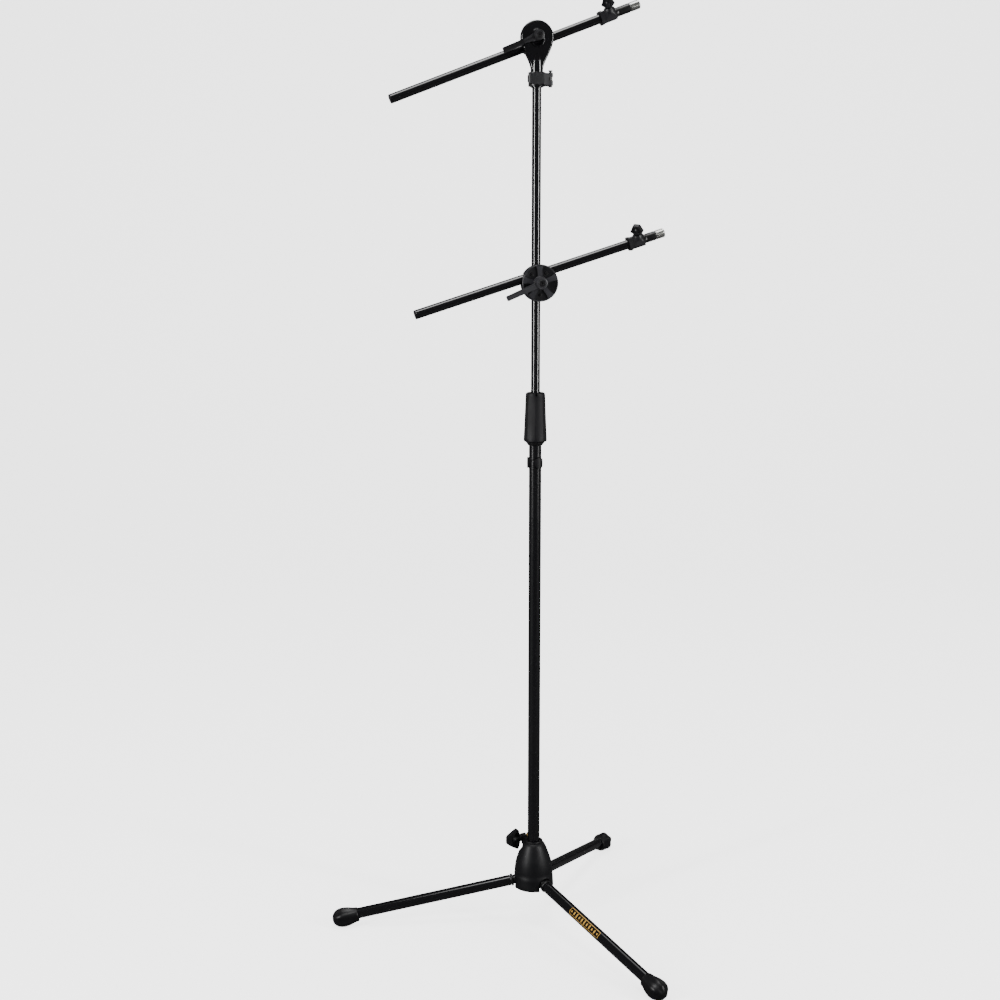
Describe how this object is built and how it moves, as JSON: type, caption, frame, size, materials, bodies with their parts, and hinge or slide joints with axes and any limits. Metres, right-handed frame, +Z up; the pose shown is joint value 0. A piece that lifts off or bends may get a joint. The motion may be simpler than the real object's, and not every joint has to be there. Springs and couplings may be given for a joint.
{
  "type": "boom microphone stand",
  "caption": "Folding tripod microphone stand: telescopic pole with a twist clutch, a tilting telescopic boom on a quick-release head and a second clamp-on boom, both with threaded ends.",
  "frame": {"origin": "centre of the whole stand's box at floor level; the pole axis stands 73 mm towards +X and 19 mm towards -Y of it", "axes": "+Z up along the pole, +X towards the booms' microphone ends (the booms point 12 degrees round from +X towards +Y), -Y the side that the tilt levers are on"},
  "size_m": [0.6048, 0.6564, 1.6762],
  "materials": {
    "gloss_black_paint": "gloss black powder coat",
    "satin_black_metal": "satin black coated steel and zinc die-casting",
    "moulded_black": "fine textured black glass-filled nylon",
    "clamp_grey": "matt dark grey moulded plastic",
    "foot_rubber": "matt black rubber",
    "zinc_plate": "bright nickel plated steel",
    "brass": "turned brass",
    "nylon": "dark natural nylon"
  },
  "bodies": {
    "base": {"base_housing": "moulded_black", "base_bush": "nylon", "base_clamp_nut": "brass", "leg_pin_1": "zinc_plate", "leg_pin_2": "zinc_plate", "leg_pin_3": "zinc_plate"},
    "base_knob": {"base_knob": "moulded_black", "base_clamp_bolt": "zinc_plate"},
    "leg_1": {"leg_root_1": "satin_black_metal", "leg_tube_1": "gloss_black_paint", "leg_foot_1": "foot_rubber"},
    "leg_2": {"leg_root_2": "satin_black_metal", "leg_tube_2": "gloss_black_paint", "leg_foot_2": "foot_rubber"},
    "leg_3": {"leg_root_3": "satin_black_metal", "leg_tube_3": "gloss_black_paint", "leg_foot_3": "foot_rubber"},
    "lower_tube": {"lower_tube": "gloss_black_paint", "guide_bush": "nylon", "clutch_collar": "satin_black_metal", "clutch_collet": "nylon"},
    "grip": {"clutch_grip": "moulded_black"},
    "upper_tube": {"upper_tube": "gloss_black_paint", "upper_tube_plug": "nylon"},
    "head": {"head_casting": "gloss_black_paint", "release_band": "satin_black_metal", "release_bolt": "zinc_plate"},
    "release_lever": {"release_lever": "clamp_grey"},
    "upper_carriage": {"boom_sleeve": "satin_black_metal", "tilt_washer": "nylon", "wedge_pad": "brass", "upper_tilt_bolt": "zinc_plate"},
    "upper_lever": {"upper_tilt_lever": "satin_black_metal", "upper_lever_grip": "foot_rubber", "upper_lever_screw": "satin_black_metal"},
    "upper_boom": {"upper_boom_tube": "gloss_black_paint", "upper_boom_cap": "moulded_black", "upper_lock_block": "clamp_grey"},
    "upper_lock_knob": {"upper_lock_knob": "clamp_grey"},
    "upper_extension": {"upper_slide_tube": "gloss_black_paint", "upper_boom_fitting": "satin_black_metal", "upper_mic_stud": "zinc_plate"},
    "clamp_liner": {"pole_liner": "nylon"},
    "clamp": {"clamp_sleeve": "clamp_grey", "lower_tilt_stud": "zinc_plate"},
    "lower_carriage": {"rear_jaw": "clamp_grey", "front_jaw": "clamp_grey", "jaw_screw_1": "satin_black_metal", "jaw_screw_2": "satin_black_metal", "jaw_screw_3": "satin_black_metal"},
    "lower_lever": {"lower_tilt_lever": "clamp_grey", "lower_lever_screw": "satin_black_metal"},
    "lower_boom": {"lower_boom_tube": "gloss_black_paint", "lower_boom_cap": "moulded_black", "lower_lock_block": "clamp_grey"},
    "lower_lock_knob": {"lower_lock_knob": "clamp_grey"},
    "lower_extension": {"lower_slide_tube": "gloss_black_paint", "lower_boom_fitting": "satin_black_metal", "lower_mic_stud": "zinc_plate"}
  },
  "joints": [
    {"name": "base_knob_turn", "type": "hinge", "parent": "base", "child": "base_knob", "pos_m": [0.06101, 0.00309, 0.156], "axis": [-0.866, -0.5, 0], "range_deg": [0, 150]},
    {"name": "leg_1_fold", "type": "hinge", "parent": "base", "child": "leg_1", "pos_m": [0.09052, -0.04205, 0.083], "axis": [0.81, 0.5864, 0], "range_deg": [0, 74]},
    {"name": "leg_2_fold", "type": "hinge", "parent": "base", "child": "leg_2", "pos_m": [0.08536, 0.00791, 0.083], "axis": [-0.9128, 0.4083, 0], "range_deg": [0, 74]},
    {"name": "leg_3_fold", "type": "hinge", "parent": "base", "child": "leg_3", "pos_m": [0.04467, -0.02154, 0.083], "axis": [0.1028, -0.9947, 0], "range_deg": [0, 74]},
    {"name": "lower_tube_slide", "type": "slide", "parent": "base", "child": "lower_tube", "axis": [0, 0, 1], "range_m": [-0.3, 0]},
    {"name": "grip_twist", "type": "hinge", "parent": "lower_tube", "child": "grip", "pos_m": [0.07351, -0.01856, 0.95], "axis": [0, 0, 1], "range_deg": [0, 90]},
    {"name": "height_slide", "type": "slide", "parent": "lower_tube", "child": "upper_tube", "axis": [0, 0, 1], "range_m": [-0.14, 0]},
    {"name": "head_swivel", "type": "hinge", "parent": "upper_tube", "child": "head", "pos_m": [0.07351, -0.01856, 1.535], "axis": [0, 0, 1], "continuous": true},
    {"name": "release_lever_open", "type": "hinge", "parent": "head", "child": "release_lever", "pos_m": [0.09672, -0.02671, 1.535], "axis": [0, 0, 1], "range_deg": [0, 110]},
    {"name": "upper_tilt", "type": "hinge", "parent": "head", "child": "upper_carriage", "pos_m": [0.07351, -0.01856, 1.606], "axis": [0.2079, -0.9781, 0], "range_deg": [-80, 45]},
    {"name": "upper_lever_turn", "type": "hinge", "parent": "head", "child": "upper_lever", "pos_m": [0.07351, -0.01856, 1.606], "axis": [0.2079, -0.9781, 0], "range_deg": [-100, 40]},
    {"name": "upper_boom_slide", "type": "slide", "parent": "upper_carriage", "child": "upper_boom", "axis": [0.9128, 0.194, 0.3593], "range_m": [-0.09, 0.15]},
    {"name": "upper_lock_turn", "type": "hinge", "parent": "upper_boom", "child": "upper_lock_knob", "pos_m": [0.19948, 0.03275, 1.64791], "axis": [-0.2004, -0.5538, 0.8082], "range_deg": [0, 150]},
    {"name": "upper_extension_slide", "type": "slide", "parent": "upper_boom", "child": "upper_extension", "axis": [0.9128, 0.194, 0.3593], "range_m": [0, 0.31]},
    {"name": "clamp_slide", "type": "slide", "parent": "upper_tube", "child": "clamp_liner", "axis": [0, 0, 1], "range_m": [-0.02, 0.16]},
    {"name": "clamp_swivel", "type": "hinge", "parent": "clamp_liner", "child": "clamp", "pos_m": [0.07351, -0.01856, 1.1915], "axis": [0, 0, 1], "continuous": true},
    {"name": "lower_tilt", "type": "hinge", "parent": "clamp", "child": "lower_carriage", "pos_m": [0.07351, -0.01856, 1.1915], "axis": [0.2079, -0.9781, 0], "range_deg": [-80, 45]},
    {"name": "lower_lever_turn", "type": "hinge", "parent": "clamp", "child": "lower_lever", "pos_m": [0.07351, -0.01856, 1.1915], "axis": [0.2079, -0.9781, 0], "range_deg": [-100, 100]},
    {"name": "lower_boom_slide", "type": "slide", "parent": "lower_carriage", "child": "lower_boom", "axis": [0.9322, 0.1981, 0.303], "range_m": [-0.13, 0.15]},
    {"name": "lower_lock_turn", "type": "hinge", "parent": "lower_boom", "child": "lower_lock_knob", "pos_m": [0.25179, -0.00827, 1.26337], "axis": [-0.1527, -0.5436, 0.8253], "range_deg": [0, 150]},
    {"name": "lower_extension_slide", "type": "slide", "parent": "lower_boom", "child": "lower_extension", "axis": [0.9322, 0.1981, 0.303], "range_m": [0, 0.31]}
  ]
}
